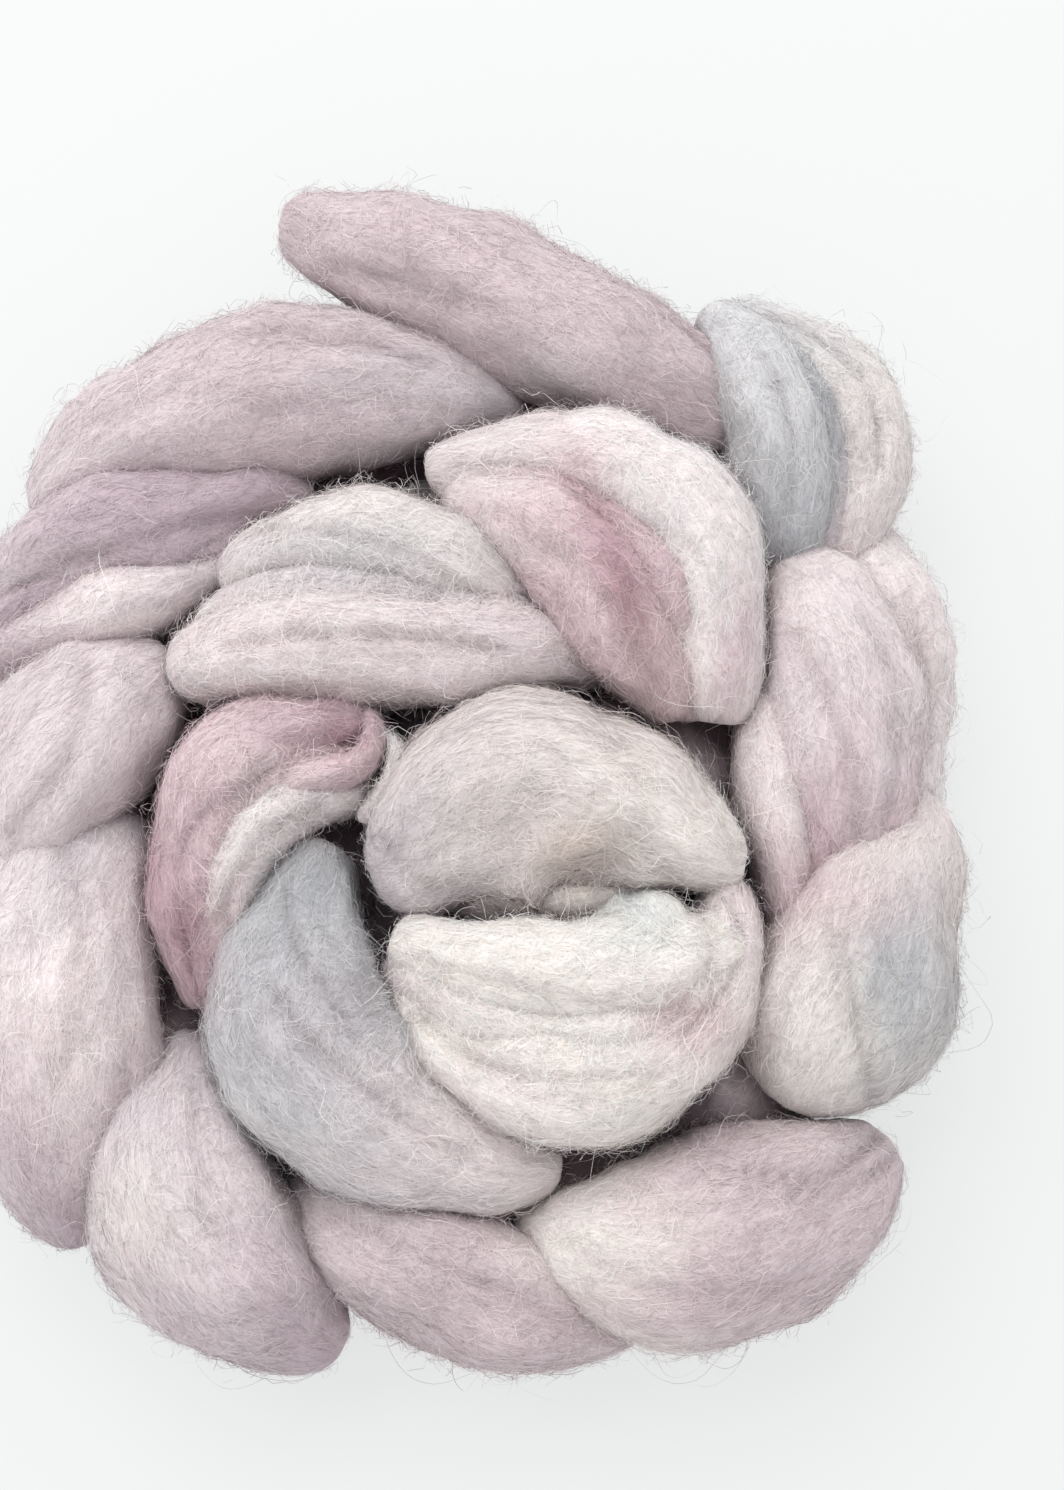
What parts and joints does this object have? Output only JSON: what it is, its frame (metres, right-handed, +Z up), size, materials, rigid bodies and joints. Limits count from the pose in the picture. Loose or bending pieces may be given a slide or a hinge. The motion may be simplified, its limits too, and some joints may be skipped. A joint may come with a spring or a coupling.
{
  "type": "combed top braid",
  "caption": "Length of soft combed wool top worked into a loose looped chain and coiled flat into a nest, for spinning or felting.",
  "frame": {"origin": "on the resting plane, midway along the length and the breadth of the coiled nest", "axes": "+Z up out of the nest, +Y along its longer way towards the loose tail, +X across it"},
  "size_m": [0.2544, 0.2998, 0.075],
  "materials": {
    "wool": "soft matt fibre, hand dyed in pale blush, rose, silver and cream"
  },
  "bodies": {
    "root": {"top_braid": "wool"}
  },
  "joints": []
}
